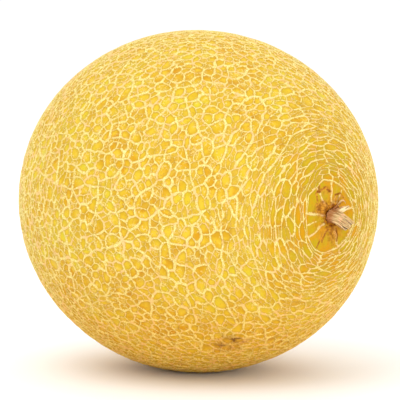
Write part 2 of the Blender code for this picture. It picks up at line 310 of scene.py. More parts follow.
# %% [markdown]
# ## Cracking the skin
#
# A cell that has grown too large cracks across its longer side, and its halves crack again later. One
# function does that with bisect_plane on a single cell. Near the stem, where the skin stretches less
# along the rings, cells stay two to three times longer along the ring than across it. The large cells
# are cracked first, exactly as in the solid, and slow waves bend their lines; then each of them cracks
# on, down to the true size of the cells, some 7 to 8 square millimetres on average.

# %% Cracking one cell
RING_STRETCH, RING_STRETCH_REACH = 1.6, 30.0
# How far a crack may turn, in radians, and shift, and how near a corner it runs through that corner, both
# as shares of the cell's width
CRACK_TURN, CRACK_SHIFT, CRACK_SNAP = 0.30, 0.10, 0.05


def crack_cell(mesh, face, middle, rng, turn=CRACK_TURN, shift=CRACK_SHIFT, ring_stretch=RING_STRETCH):
    """Cuts a cell in two across its longer side, and gives its two halves, or nothing if it won't cut."""
    ring = STEM_END.cross(middle).normalized()
    away = ring.cross(middle)
    stretch = 1.0 + ring_stretch * math.exp(-(angle_from_stem(middle) / RING_STRETCH_REACH) ** 2)
    spread_ring = spread_both = spread_away = 0.0
    for edge in face.edges:
        offset = (edge.verts[0].co + edge.verts[1].co) * 0.5 - middle
        along, out, weight = offset.dot(ring) / stretch, offset.dot(away), edge.calc_length()
        spread_ring += along * along * weight
        spread_both += along * out * weight
        spread_away += out * out * weight
    lean = 0.5 * math.atan2(2.0 * spread_both, spread_ring - spread_away)
    lean += rng.uniform(-turn, turn)
    across = (ring * (math.cos(lean) / stretch) + away * math.sin(lean)).normalized()
    reach = [(vert.co - middle).dot(across) for vert in face.verts]
    width = max(reach) - min(reach)
    place = 0.5 * (max(reach) + min(reach)) + rng.uniform(-shift, shift) * width
    size = math.sqrt(face.calc_area()) * EQUATOR_RADIUS
    old_edges = set(face.edges)
    cut = bmesh.ops.bisect_plane(
        mesh, geom=[face] + list(face.edges) + list(face.verts), dist=CRACK_SNAP * width,
        plane_co=middle + across * place, plane_no=across)
    cracked = False
    for item in cut["geom_cut"]:
        if isinstance(item, bmesh.types.BMVert):
            item.co.normalize()
        elif item not in old_edges:
            item[parent_size] = size
            cracked = True
    return [item for item in cut["geom"] if isinstance(item, bmesh.types.BMFace)] if cracked else []


def crack_cells(mesh, cells, largest, patience, rng, **how):
    """Cracks every cell that is larger than the area that largest(direction) gives, again and again."""
    while cells:
        halves = []
        for face in cells:
            middle = face.calc_center_bounds().normalized()
            limit = largest(middle) * rng.uniform(*patience)
            if face.calc_area() * fruit_radius(middle) ** 2 > limit:
                halves += crack_cell(mesh, face, middle, rng, **how)
        cells = halves


# %% The large cells, as in the solid
LARGE_CELL_AREA = 118.0 * MM * MM
LARGE_PATIENCE = (0.85, 1.2)
WAVES, WAVE_SIZE, WAVE_TURNS = 9, 0.016, (3.0, 9.0)
FULL_WAVES_ANGLE = 40.0
SETTLING = (0.6, 0.5)


def draw_waves(rng, count, size, turns):
    """Waves over the sphere: the heading of each, the way it pushes the corners, and where it starts."""
    waves = []
    for _ in range(count):
        heading = Vector([rng.gauss(0.0, 1.0) for _ in range(3)]).normalized() * rng.uniform(*turns)
        push = Vector([rng.gauss(0.0, 1.0) for _ in range(3)]).normalized() * size
        waves.append((heading, push, rng.uniform(0.0, 2.0 * math.pi)))
    return waves


def smooth_on_sphere(mesh, verts, share):
    """Moves corners a share of the way to the middle of their neighbours, and back onto the sphere."""
    bmesh.ops.smooth_vert(mesh, verts=verts, factor=share, use_axis_x=True, use_axis_y=True, use_axis_z=True)
    for vert in verts:
        vert.co.normalize()


def settle_net(mesh, free, waves, calm_angles, passes):
    """Bends the lines of the net by waves, and lets each corner settle between its neighbours."""
    for vert in free:
        bend = Vector()
        for heading, push, phase in waves:
            bend += push * math.sin(heading.dot(vert.co) + phase)
        strength = smooth_step(*calm_angles, angle_from_stem(vert.co))
        vert.co = (vert.co + bend * strength).normalized()
    for share in passes:
        smooth_on_sphere(mesh, free, share)


crack_cells(net, [face for face in net.faces if face not in smooth_zone],
            lambda middle: LARGE_CELL_AREA, LARGE_PATIENCE, rng)
for vert in {vert for face in smooth_zone for vert in face.verts} - fixed:
    turn = math.degrees(math.atan2(vert.co.z, vert.co.y))
    vert.co = direction(turn, clear_zone_angle(turn))
    fixed.add(vert)
settle_net(net, [vert for vert in net.verts if vert not in fixed],
           draw_waves(rng, WAVES, WAVE_SIZE, WAVE_TURNS), (CLEAR_ZONE_ANGLE, FULL_WAVES_ANGLE), SETTLING)
print("large cells", len(net.faces))

# %% The small cells, at their true size
# The largest area of a small cell in square mm, and how much less it is at the blossom end, above and
# below, and near the stem
SMALL_CELL_AREA = 16.5
LESS_AT_BLOSSOM_END, LESS_ABOVE_AND_BELOW, LESS_NEAR_STEM = 3.5, 2.0, 3.8
FINE_PATIENCE = (0.45, 1.55)
FINE_TURN, FINE_SHIFT, FINE_RING_STRETCH = 0.42, 0.22, 2.5
FINE_WAVES, FINE_WAVE_SIZE, FINE_WAVE_TURNS = 14, 0.0016, (25.0, 60.0)
FULL_FINE_WAVES_ANGLE = 14.0
FINE_SETTLING = (0.5, 0.4)
RING_CUTS, RING_SHIFT_REACH = 3, 24.0
LONG_LINE, LINE_BEND, BEND_ROOM = 2.5 * MM, 0.13, 0.25
# Corners of the first ring of the net: turn in degrees, and distance from the axis in mm
FIRST_RING = (
    (2.4, 12.6), (27.2, 11.9), (61.0, 12.3), (84.1, 13.2), (106.1, 14.5), (143.6, 14.6), (160.8, 13.3),
    (178.0, 13.4), (207.8, 14.2), (232.0, 14.7), (253.8, 14.5), (286.6, 12.9), (317.1, 12.6), (341.8, 13.2),
)


def first_ring_angle(turn):
    """Angle from the stem end to the first ring, which runs straight from corner to corner."""
    turn = turn % 360.0
    corners = [(FIRST_RING[-1][0] - 360.0, FIRST_RING[-1][1])] + list(FIRST_RING)
    corners.append((FIRST_RING[0][0] + 360.0, FIRST_RING[0][1]))
    for (start, near), (end, far) in zip(corners, corners[1:]):
        if start <= turn <= end:
            after, left = math.radians(turn - start), math.radians(end - turn)
            away = near * far * math.sin(after + left) / (near * math.sin(after) + far * math.sin(left))
    return math.degrees(math.asin(away * MM / fruit_radius(direction(turn, CLEAR_ZONE_ANGLE))))


def open_corners(mesh):
    """The corners of the first ring, where the net ends at the smooth hollow."""
    return {vert for edge in mesh.edges if edge.is_boundary for vert in edge.verts}


def small_cell_area(middle):
    """Largest cell round a direction that doesn't crack again."""
    area = SMALL_CELL_AREA
    area -= LESS_AT_BLOSSOM_END * smooth_step(25.0, -25.0, math.degrees(math.asin(middle.x)))
    area -= LESS_ABOVE_AND_BELOW * smooth_step(0.1, 0.8, abs(middle.z))
    area -= LESS_NEAR_STEM * smooth_step(48.0, 20.0, angle_from_stem(middle))
    return area * MM * MM


crack_cells(net, [face for face in net.faces if face not in smooth_zone], small_cell_area, FINE_PATIENCE, rng,
            turn=FINE_TURN, shift=FINE_SHIFT, ring_stretch=FINE_RING_STRETCH)
bmesh.ops.delete(net, geom=smooth_zone, context="FACES")
first_ring = [edge for edge in net.edges if edge.is_boundary]
bmesh.ops.bisect_edges(net, edges=first_ring, cuts=RING_CUTS)
# The first ring moves to its corners in the photograph, and the lines beside it go along
fixed = open_corners(net)
for vert in net.verts:
    turn = math.degrees(math.atan2(vert.co.z, vert.co.y))
    angle = clear_zone_angle(turn) if vert in fixed else angle_from_stem(vert.co)
    nearness = smooth_step(RING_SHIFT_REACH, CLEAR_ZONE_ANGLE, angle)
    if nearness > 0.0:
        vert.co = direction(turn, angle + (first_ring_angle(turn) - clear_zone_angle(turn)) * nearness)
fine_waves = draw_waves(rng, FINE_WAVES, FINE_WAVE_SIZE, FINE_WAVE_TURNS)
settle_net(net, [vert for vert in net.verts if vert not in fixed], fine_waves,
           (CLEAR_ZONE_ANGLE, FULL_FINE_WAVES_ANGLE), FINE_SETTLING)
# Long lines bend in their middle, less where a cell beside them is narrow
long_lines = [edge for edge in net.edges
              if edge.calc_length() * EQUATOR_RADIUS > LONG_LINE and not fixed.intersection(edge.verts)]
for vert in bmesh.ops.bisect_edges(net, edges=long_lines, cuts=1)["geom_split"]:
    if isinstance(vert, bmesh.types.BMVert):
        ahead = vert.link_edges[0].other_vert(vert).co - vert.link_edges[1].other_vert(vert).co
        room = min(face.calc_area() for face in vert.link_faces) / ahead.length_squared
        bend = rng.uniform(-1.0, 1.0) * min(LINE_BEND, BEND_ROOM * room)
        vert.co = (vert.co + vert.co.cross(ahead) * bend).normalized()
print("small cells", len(net.faces), "lines", len(net.edges), "bent", len(long_lines))

# %% [markdown]
# ## Cells that the bending has folded
#
# Skin can't fold over itself, but the waves and the cracks leave a few cells that do, most of them long
# ones beside the first ring. Insetting such a cell would turn faces inside out, and they would show as
# black lines. Their corners are first smoothed between their neighbours. A long cell that still bends
# round a corner of the first ring cracks once more, across its length, as real skin does where it is
# strained most. The very few that are left are joined to a neighbour.

# %% Opening up the folded cells
MENDING_ROUNDS, MENDING_SHARE = 12, 0.5
MENDING_CRACKS = 3


def lay_flat(verts):
    """The middle of some corners, two directions across it, and the corners laid flat along them."""
    middle = sum((vert.co for vert in verts), Vector()) / len(verts)
    up = middle.normalized()
    side = up.orthogonal().normalized()
    other = up.cross(side)
    return middle, side, other, [Vector(((vert.co - middle).dot(side), (vert.co - middle).dot(other), 0.0))
                                 for vert in verts]


def is_open(corners):
    """Whether a flat outline runs once round its middle, so that nothing in it is folded or turned over."""
    middle = sum(corners, Vector()) / len(corners)
    turned = [(first - middle).cross(second - middle).z for first, second in ring_pairs(corners)]
    return min(turned) > 0.0


def folded_cells(mesh):
    """The cells whose outline isn't open."""
    return [face for face in mesh.faces if not is_open(lay_flat(face.verts)[3])]


fixed = open_corners(net)
for _ in range(MENDING_ROUNDS):
    folded = folded_cells(net)
    around = [vert for vert in net.verts if vert not in fixed and not set(vert.link_faces).isdisjoint(folded)]
    smooth_on_sphere(net, around, MENDING_SHARE)
for _ in range(MENDING_CRACKS):
    folded = folded_cells(net)
    print("cells bent too far", len(folded))
    for face in folded:
        crack_cell(net, face, face.calc_center_bounds().normalized(), rng, ring_stretch=0.0)
folded = folded_cells(net)
longest = {max((edge for edge in face.edges if not edge.is_boundary), key=lambda edge: edge.calc_length())
           for face in folded}
bmesh.ops.dissolve_edges(net, edges=[edge for edge in net.edges if edge in longest], use_verts=False)
print("folded cells joined to a neighbour", len(folded))

# %% [markdown]
# ## Setting the net on the fruit
#
# So far the net lies on a sphere of radius one. Each corner is now moved out to the form of the fruit.
# Where the fruit rests, anything that would go below its resting level is pressed flat there, the tops
# of the ribs most, so it stands on its net as a real one does. Lines too short to see are closed up.

# %% Setting the net on the fruit
SHORTEST_LINE = 0.45 * MM
TALLEST_RIB = 0.60 * MM
PRESSED_SHARE = 0.15


def on_fruit(unit, sunk):
    """The point in a direction from the fruit's centre that lies that far below the tops of the net."""
    point = unit * (fruit_radius(unit) - sunk)
    lowest = REST_LEVEL + PRESSED_SHARE * sunk
    if point.z < lowest:
        point.z = lowest
    return point


for vert in net.verts:
    vert.co = vert.co * fruit_radius(vert.co)
fixed = open_corners(net)
short = [edge for edge in net.edges
         if edge.calc_length() < SHORTEST_LINE and not fixed.intersection(edge.verts)]
bmesh.ops.collapse(net, edges=short)
print("short lines closed", len(short), "cells left", len(net.faces))

# %% [markdown]
# ## Raising the ribs
#
# On the real fruit the oldest cracks carry the widest and tallest ribs, and the last ones are thin. Each
# line therefore gets a width and a height from the size of the cell that it cracked. Every cell is inset
# with inset_individual. In a large cell the first inset becomes the shoulder of the rib and a second one
# its foot, and the cell's own face, the skin between the ribs, is poked and slightly domed. A small cell
# has room for one inset only, which is the foot. An even inset would make all ribs alike, so the new
# corners are then moved to where the widths of their two sides meet.

# %% Widths and heights of the ribs
# A line that cracked a cell of the first size carries the thinnest rib, and of the second the widest
RIB_PARENT_SIZES = (3.0 * MM, 10.5 * MM)
RIB_HALF_WIDTHS = (0.20 * MM, 0.56 * MM)
RIB_HEIGHTS = (0.26 * MM, TALLEST_RIB)
WIDTH_SPREAD = 0.32
NARROWER, NARROWER_ACROSS, NARROW_REACH = 0.12, 0.30, 34.0
FIRST_RING_HALF_WIDTHS = (0.34 * MM, 0.64 * MM)
# Where ribs meet, this share of the height comes from the tallest one
TALLEST_SHARE = 0.4

half_width, rib_height = [net.edges.layers.float.new(name) for name in ("half_width", "rib_height")]
crest = net.verts.layers.float.new("crest")
# How far a point lies inside the border of its rib, in mm, and less than zero on the skin
inside = net.verts.layers.float.new("inside")
tone, near_stem, brown, crack = [
    net.verts.layers.float.new(name) for name in ("tone", "near_stem", "brown", "crack")]


def between(values, share):
    """The value at a share of the way from the first of two values to the second."""
    return values[0] + (values[1] - values[0]) * share


def triangle_count(mesh):
    """How many triangles the faces of a mesh come to."""
    return sum(len(face.verts) - 2 for face in mesh.faces)


for edge in net.edges:
    age = smooth_step(*RIB_PARENT_SIZES, edge[parent_size])
    middle = (edge.verts[0].co + edge.verts[1].co).normalized()
    across = abs((edge.verts[0].co - edge.verts[1].co).normalized().dot(STEM_END.cross(middle).normalized()))
    # Near the stem the ribs along the rings stay, and those that cross them are thin
    slim = 1.0 - (NARROWER + NARROWER_ACROSS * (1.0 - across)) * math.exp(
        -(angle_from_stem(middle) / NARROW_REACH) ** 2)
    edge[half_width] = between(RIB_HALF_WIDTHS, age) * (1.0 + rng.uniform(-WIDTH_SPREAD, WIDTH_SPREAD)) * slim
    edge[rib_height] = between(RIB_HEIGHTS, age)
    if edge.is_boundary:
        edge[half_width] = rng.uniform(*FIRST_RING_HALF_WIDTHS)
for vert in net.verts:
    heights = [edge[rib_height] for edge in vert.link_edges]
    vert[crest] = TALLEST_SHARE * max(heights) + (1.0 - TALLEST_SHARE) * sum(heights) / len(heights)
    vert[inside] = sum(edge[half_width] for edge in vert.link_edges) / len(vert.link_edges) / MM
    vert[tone] = rng.random()
cells = list(net.faces)
crests = set(net.verts)
widest = max(edge[half_width] for edge in net.edges) * 2
print("cells", len(cells), "widest line", round(widest / MM, 2), "mm")

# %% Raising the ribs
# The shoulder's place on the way from the middle of a rib to its foot, and the share of the height there
SHOULDER_PLACE, SHOULDER_LEVEL = 0.55, 0.82
DOME_HEIGHTS, DOME_SIZES = (0.05 * MM, 0.14 * MM), (0.3 * MM, 2.0 * MM)
LEVEL_SPREAD = 0.05 * MM
ONE_INSET_AREA = 9.5 * MM * MM
FIRST_INSET = 0.01 * MM
# How far outside its rib's border the foot lies, in mm, in a large cell and in a small one
BIG_FOOT, SMALL_FOOT = 0.04, 0.18
SHARP_CORNER, WIDE_CORNER, CORNER_CORK = 60.0, 125.0, 0.06
# In tight cells: the skin's depth as a share, and how far the cork grows into the cell, in mm, far from
# the stem and near it
TIGHT_DEPTHS, TIGHT_CORK, TIGHT_CORK_ANGLES = (0.2, 1.0), (0.12, -0.30), (34.0, 20.0)
# An inset shrinks until each side keeps this share of its length, or else goes part of the way inwards
LEAST_SIDE_LEFT, SHRINK, LEAST_SCALE = 0.14, 0.85, 0.12
PART_WAY, PART_WAY_FIT = 0.4, 0.1
# Where two sides are nearly in line, their corner moves along the middle of both, and not too far
NEARLY_IN_LINE, LEAST_BOTH = 0.35, 0.6


def inset_corners(corners, widths):
    """Corners of a flat outline moved in so that each side moves by its width, and the share that fitted."""
    sides = [second - first for first, second in ring_pairs(corners)]
    turned = sum(first.cross(second).z for first, second in ring_pairs(corners))
    sign = 1.0 if turned > 0.0 else -1.0
    inward = [Vector((-side.y, side.x, 0.0)).normalized() * sign for side in sides]
    steps = []
    for index in range(len(corners)):
        first, second = inward[index - 1], inward[index]
        across = first.x * second.y - first.y * second.x
        if abs(across) > NEARLY_IN_LINE:
            step = Vector((second.y * widths[index - 1] - first.y * widths[index],
                           first.x * widths[index] - second.x * widths[index - 1], 0.0)) / across
        else:
            both = first + second
            step = both * ((widths[index - 1] + widths[index]) / max(both.length_squared, LEAST_BOTH))
        steps.append(step)
    scale = 1.0
    while scale > LEAST_SCALE:
        moved = [corner + step * scale for corner, step in zip(corners, steps)]
        kept = min((second - first).dot(side) / side.length_squared
                   for (first, second), side in zip(ring_pairs(moved), sides))
        if kept > LEAST_SIDE_LEFT and is_open(moved):
            return moved, scale
        scale *= SHRINK
    middle = sum(corners, Vector()) / len(corners)
    return [corner.lerp(middle, PART_WAY) for corner in corners], PART_WAY_FIT


def outer_corners(face):
    """For each corner of an inset face, the corner that it was inset from."""
    own = set(face.edges)
    return [next(edge.other_vert(vert) for edge in vert.link_edges if edge not in own) for vert in face.verts]


def corner_fill(flat):
    """How much cork fills each corner of a cell: more where its two sides meet sharply."""
    fills = []
    for index, corner in enumerate(flat):
        before = flat[index - 1] - corner
        after = flat[(index + 1) % len(flat)] - corner
        fills.append(smooth_step(WIDE_CORNER, SHARP_CORNER, math.degrees(before.angle(after, math.pi))))
    return fills


def sink(vert, foot):
    """Puts a corner of a cell's own face at the foot of its rib."""
    unit, level, cell_tone, foot_inside = foot
    vert.co = on_fruit(unit, level)
    vert[inside] = foot_inside
    vert[tone] = cell_tone


big_cells = [face for face in cells if face.calc_area() > ONE_INSET_AREA]
small_cells = {face for face in cells if face.calc_area() <= ONE_INSET_AREA}
bmesh.ops.inset_individual(net, faces=cells, thickness=FIRST_INSET)
feet = {}
for face in cells:
    outer = outer_corners(face)
    lower = SMALL_FOOT if face in small_cells else BIG_FOOT
    widths = [net.edges.get(pair)[half_width] for pair in ring_pairs(outer)]
    middle, side, other, flat = lay_flat(outer)
    inner, fitted = inset_corners(flat, widths)
    # Where the ribs leave little room, they grow together and the skin between them lies less deep
    level = TALLEST_RIB * between(TIGHT_DEPTHS, fitted) + rng.uniform(-LEVEL_SPREAD, LEVEL_SPREAD)
    cell_tone = rng.random()
    cork_grows = between(TIGHT_CORK, smooth_step(*TIGHT_CORK_ANGLES, angle_from_stem(middle)))
    for vert, old, corner, foot, fill in zip(face.verts, outer, flat, inner, corner_fill(flat)):
        foot_unit = (middle + side * foot.x + other * foot.y).normalized()
        grown = CORNER_CORK * fill + cork_grows * (1.0 - fitted)
        feet[vert] = (foot_unit, level, cell_tone, grown - lower)
        spot = corner.lerp(foot, SHOULDER_PLACE)
        unit = (middle + side * spot.x + other * spot.y).normalized()
        vert.co = on_fruit(unit, between((level, TALLEST_RIB - old[crest]), SHOULDER_LEVEL))
        vert[inside] = old[inside] * (1.0 - SHOULDER_PLACE)
for face in small_cells:
    for vert in face.verts:
        sink(vert, feet[vert])
bmesh.ops.inset_individual(net, faces=big_cells, thickness=FIRST_INSET)
for face in big_cells:
    for vert, shoulder in zip(face.verts, outer_corners(face)):
        sink(vert, feet[shoulder])
for vert in crests:
    vert.co = on_fruit(vert.co.normalized(), TALLEST_RIB - vert[crest])
poked = bmesh.ops.poke(net, faces=big_cells, center_mode="MEAN")
for vert in poked["verts"]:
    around = [edge.other_vert(vert) for edge in vert.link_edges]
    size = sum((other.co - vert.co).length for other in around) / len(around)
    level = sum(fruit_radius(other.co.normalized()) - other.co.length for other in around) / len(around)
    dome = between(DOME_HEIGHTS, smooth_step(*DOME_SIZES, size))
    vert.co = on_fruit(vert.co.normalized(), level - dome)
    vert[inside] = -size / MM
    vert[tone] = around[0][tone]
print("triangles of the net", triangle_count(net))

# %% [markdown]
# ## The hollow round the stem
#
# Round the stem the skin stays smooth, and only a few ribs cross it like spokes, from the stem out to the
# first ring of the net. It is made as a grid that is wrapped round the stem: one direction of the grid
# becomes the turn round the axis, the other the distance from it. Its height comes from the spokes, each
# a soft ridge along a slightly wandering line. The inner side of the first ring is extruded from the
# edge of the net, and bridge_loops sews the two together.

# %% The spokes and the brown marks
# Turn in degrees, distance from the axis in mm where it starts and ends, half width and height in mm, and
# browning
SPOKES = (
    (86.4, 2.6, 16.0, 0.58, 0.55, 0.0),
    (123.6, 3.6, 15.0, 0.48, 0.50, 0.1),
    (171.8, 2.0, 15.0, 0.62, 0.52, 0.0),
    (213.0, 4.2, 15.5, 0.50, 0.45, 0.0),
    (192.3, 7.5, 15.0, 0.34, 0.20, 0.0),
    (56.4, 4.4, 13.5, 0.38, 0.38, 0.1),
    (289.7, 5.6, 12.4, 0.58, 0.36, 0.45),
    (12.0, 4.0, 14.0, 0.44, 0.40, 0.1),
    (330.0, 4.6, 10.0, 0.34, 0.28, 0.2),
    (70.0, 4.4, 8.4, 0.26, 0.22, 0.3),
    (40.0, 4.6, 8.8, 0.28, 0.22, 0.3),
)
# Middle of each mark across the axis (along Y, along Z) in mm, its half sizes, and its strength
BROWN_MARKS = (
    ((-4.6, 3.2), (4.6, 3.4), 0.90),
    ((1.5, -7.0), (3.0, 4.4), 0.75),
    ((0.6, 0.2), (6.0, 5.8), 1.0),
    ((0.6, -1.6), (9.5, 10.0), 0.36),
    ((-2.4, 9.9), (3.0, 1.8), 0.50),
    ((3.6, 4.8), (4.0, 2.8), 0.65),
)
# Lines of brown, cracked skin across the axis (along Y, along Z) in mm, with the half width
BROWN_LINES = (
    (((-6.35, 9.55), (-2.55, 10.98), (-0.38, 9.40)), 0.50),
    (((-6.9, 6.2), (-7.6, 9.0), (-5.2, 12.0)), 0.34),
    (((-4.6, -7.5), (-6.9, -11.3)), 0.32),
    (((-1.0, -4.6), (-3.4, -7.2), (-4.4, -9.4)), 0.38),
    (((3.2, -5.4), (3.9, -7.8), (3.4, -9.8)), 0.38),
    (((2.6, 7.8), (5.0, 8.2), (7.2, 6.4)), 0.32),
)
RIM_PLACE, RIM_SPREAD, RIM_HEIGHT = 4.4, 1.0, 1.5
# What round_stem gives as the depth inside a rib where no rib is near, in mm
NO_RIB = -3.0
# Radians in a whole wave, near enough for a wobble
WHOLE_WAVE = 6.28


def wander(place, seed):
    """A slow, smooth, repeatable wobble between about -1 and 1."""
    return 0.6 * math.sin(place + seed * 2.4) + 0.4 * math.sin(place * 2.3 + seed * 5.1 + 0.7)


def ripple(point, step, seed):
    """The same over a flat point, with waves about that long."""
    return 0.5 * (wander(point[0] * WHOLE_WAVE / step + 0.6 * point[1], seed)
                  + wander(point[1] * WHOLE_WAVE / step - 0.5 * point[0], seed + 3.0))


def line_distance(point, line):
    """Least distance from a flat point to a line of flat points."""
    least = 1e9
    for start, end in zip(line, line[1:]):
        along = (end[0] - start[0], end[1] - start[1])
        from_start = (point[0] - start[0], point[1] - start[1])
        share = (from_start[0] * along[0] + from_start[1] * along[1]) / (along[0] ** 2 + along[1] ** 2)
        share = min(1.0, max(0.0, share))
        least = min(least, math.hypot(from_start[0] - along[0] * share, from_start[1] - along[1] * share))
    return least


def round_stem(turn, away):
    """Height over the skin, depth inside a rib and browning, at a turn and a distance from the axis in mm."""
    height = brown_here = 0.0
    inside_here = NO_RIB
    for index, (spoke_turn, start, end, width, tall, tan) in enumerate(SPOKES):
        # A spoke wanders a little from its turn, is uneven in width and thins out at both ends
        bent = spoke_turn + 1.6 * wander(away * 0.5, index + 1.0)
        aside = away * abs(math.radians((turn - bent + 180.0) % 360.0 - 180.0))
        half = width * (0.9 + 0.25 * wander(away * 1.3, index + 9.0))
        half *= smooth_step(start - 0.8, start + 1.0, away) * smooth_step(end + 0.5, end - 1.2, away)
        inside_here = max(inside_here, half - aside)
        if aside < half:
            ridge = (1.0 - (aside / half) ** 2) * min(1.0, half / width)
            height = max(height, tall * ridge)
            brown_here = max(brown_here, tan * ridge)
    point = (away * math.cos(math.radians(turn)), away * math.sin(math.radians(turn)))
    # The edges of the browned marks are ragged, and a browned line lies in a shallow furrow
    for middle, sizes, strength in BROWN_MARKS:
        near = math.hypot((point[0] - middle[0]) / sizes[0], (point[1] - middle[1]) / sizes[1])
        near += 0.25 * ripple(point, 2.6, 3.0) + 0.15 * ripple(point, 1.1, 8.0)
        brown_here = max(brown_here, strength * smooth_step(1.25, 0.5, near))
    for line, half in BROWN_LINES:
        near = line_distance(point, line) / half
        brown_here = max(brown_here, smooth_step(1.7, 0.6, near))
        height -= 0.10 * smooth_step(1.2, 0.2, near)
    # The rim of crumpled tissue that the stem grows out of
    rim = math.exp(-((away - RIM_PLACE - 0.5 * ripple(point, 5.0, 6.0)) / RIM_SPREAD) ** 2)
    height += RIM_HEIGHT * rim * (0.55 + 0.45 * ripple(point, 1.7, 4.0))
    # The skin itself is a little uneven
    height += 0.12 * ripple(point, 7.0, 1.0) + 0.05 * ripple(point, 2.8, 5.0)
    return height, inside_here, brown_here


# %% The smooth skin round the stem
# The smooth skin lies this far below the tops of the net
ZONE_SUNK = 0.85 * MM
COLUMNS, RINGS = 240, 30
# Steps from the first ring down to the skin: how far inwards, how far below the tops, and how far inside
# the rib, in mm
EDGE_STEPS = ((0.22 * MM, 0.15 * MM, 0.16), (0.55 * MM, 0.70 * MM, -0.10))
HIGHEST_EDGE = 0.1 * MM
# The grid ends this far inside the first ring, which lies about 70 mm from the fruit's centre
GRID_EDGE, FIRST_RING_RADIUS = 0.85 * MM, 70.0 * MM
INNER_ANGLE = 1.2
SEAM = 1e-7

edge_loop = [edge for edge in net.edges if edge.is_boundary]
print("lines of the first ring", len(edge_loop))
for inwards, sunk, inside_level in EDGE_STEPS:
    pulled = bmesh.ops.extrude_edge_only(net, edges=edge_loop)["geom"]
    for vert in [item for item in pulled if isinstance(item, bmesh.types.BMVert)]:
        unit = vert.co.normalized()
        turn = math.degrees(math.atan2(unit.z, unit.y))
        angle = first_ring_angle(turn) - math.degrees(inwards / vert.co.length)
        away = fruit_radius(unit) * math.sin(math.radians(angle)) / MM
        height, inside_here, _ = round_stem(turn, away)
        vert.co = on_fruit(direction(turn, angle), max(HIGHEST_EDGE, sunk - height * MM))
        vert[inside] = max(inside_level, inside_here)
    edge_loop = [item for item in pulled if isinstance(item, bmesh.types.BMEdge) and item.is_boundary]

grid = bmesh.ops.create_grid(net, x_segments=COLUMNS, y_segments=RINGS, size=1.0)["verts"]
for vert in grid:
    turn = vert.co.x * 180.0
    outer_angle = first_ring_angle(turn) - math.degrees(GRID_EDGE / FIRST_RING_RADIUS)
    angle = between((INNER_ANGLE, outer_angle), (vert.co.y + 1.0) / 2.0)
    unit = direction(turn, angle)
    away = fruit_radius(unit) * math.sin(math.radians(angle)) / MM
    height, inside_here, brown_here = round_stem(turn, away)
    vert.co = on_fruit(unit, ZONE_SUNK - height * MM)
    vert[inside] = inside_here
    vert[brown] = brown_here
    vert[tone] = 0.5
bmesh.ops.remove_doubles(net, verts=grid, dist=SEAM)
open_edges = [edge for edge in net.edges if edge.is_boundary]
middle_loop = [edge for edge in open_edges if angle_from_stem(edge.verts[0].co) < INNER_ANGLE + 0.5]
grid_loop = [edge for edge in open_edges if edge not in set(edge_loop) and edge not in set(middle_loop)]
print("open edges: middle", len(middle_loop), "grid", len(grid_loop), "net", len(edge_loop))
bmesh.ops.bridge_loops(net, edges=edge_loop + grid_loop)
bmesh.ops.poke(net, faces=bmesh.ops.holes_fill(net, edges=middle_loop)["faces"])
bmesh.ops.recalc_face_normals(net, faces=net.faces)
print("triangles", triangle_count(net), "open edges left", sum(not edge.is_manifold for edge in net.edges))

# %% [markdown]
# ## Scars
#
# Where the fruit lay or rubbed while it grew, its skin has healed in a patch of finer, browner cork with a
# few open cracks. One such patch is low on the side that the photograph shows. The other scar is the
# round one that the flower leaves at the far end of every melon, with two faint rings in it. They could
# be pieces of their own, but a scar has no thickness: both are only browning, a higher share of cork and
# open cracks, written as attributes on the net that is already there.

# %% Scars
# Direction from the fruit's centre, radius in mm, browning, and how many mm the ribs widen there
SCARS = (
    (direction(-116.4, 51.8), 6.6, 0.46, 0.06),
    (direction(-117.4, 54.6), 2.4, 0.66, 0.12),
    (direction(-112.8, 49.7), 2.6, 0.56, 0.10),
)
# A scar fades out between these shares of its radius, along an edge that is ragged by the last number
SCAR_EDGES, SCAR_RAGGED = (1.3, 0.45), 0.35
# Open cracks in that scar: both ends, each as turn and angle from the stem end in degrees
CRACKS = (
    ((-117.0, 50.0), (-117.8, 47.6)),
    ((-118.0, 55.8), (-116.5, 53.4)),
    ((-115.5, 50.2), (-116.1, 48.2)),
)
CRACK_REACH = (0.85, 0.25)
# The round scar at the far end: its radius in mm, and the places of its rings as shares of that
BLOSSOM_SCAR, BLOSSOM_RINGS, BLOSSOM_RING = 7.5, (0.38, 0.86), 0.13
# Where it fades out, its browning between the rings and on them, and how many mm the ribs widen there
BLOSSOM_EDGES, BLOSSOM_BROWN, BLOSSOM_RING_BROWN, BLOSSOM_CORK = (1.25, 0.9), 0.22, 0.5, 0.5
# From the first angle inwards to the second, the skin takes the deeper colour that it has round the stem
NEAR_STEM_ANGLES = (36.0, 9.0)

for vert in net.verts:
    unit = vert.co.normalized()
    spot = (unit.y * EQUATOR_RADIUS / MM, unit.z * EQUATOR_RADIUS / MM)
    for middle, size, strength, wider in SCARS:
        away = unit.angle(middle) * EQUATOR_RADIUS / MM
        if away < 2.0 * size:
            cover = smooth_step(*SCAR_EDGES, away / size + SCAR_RAGGED * ripple(spot, 4.0, 7.0))
            vert[brown] = max(vert[brown], strength * cover)
            vert[inside] += wider * cover
    for start, end in CRACKS:
        first, second = direction(*start), direction(*end)
        along = second - first
        share = min(1.0, max(0.0, (unit - first).dot(along) / along.length_squared))
        away = (unit - first - along * share).length * EQUATOR_RADIUS / MM
        vert[crack] = max(vert[crack], smooth_step(*CRACK_REACH, away))
    away = math.radians(180.0 - angle_from_stem(unit)) * EQUATOR_RADIUS / MM / BLOSSOM_SCAR
    if away < 1.6:
        away += 0.10 * ripple(spot, 5.0, 2.0)
        rings = max(math.exp(-((away - ring) / BLOSSOM_RING) ** 2) for ring in BLOSSOM_RINGS)
        cover = smooth_step(*BLOSSOM_EDGES, away)
        vert[brown] = max(vert[brown], cover * (BLOSSOM_BROWN + BLOSSOM_RING_BROWN * rings))
        vert[inside] += BLOSSOM_CORK * cover
    vert[near_stem] = smooth_step(*NEAR_STEM_ANGLES, angle_from_stem(unit))
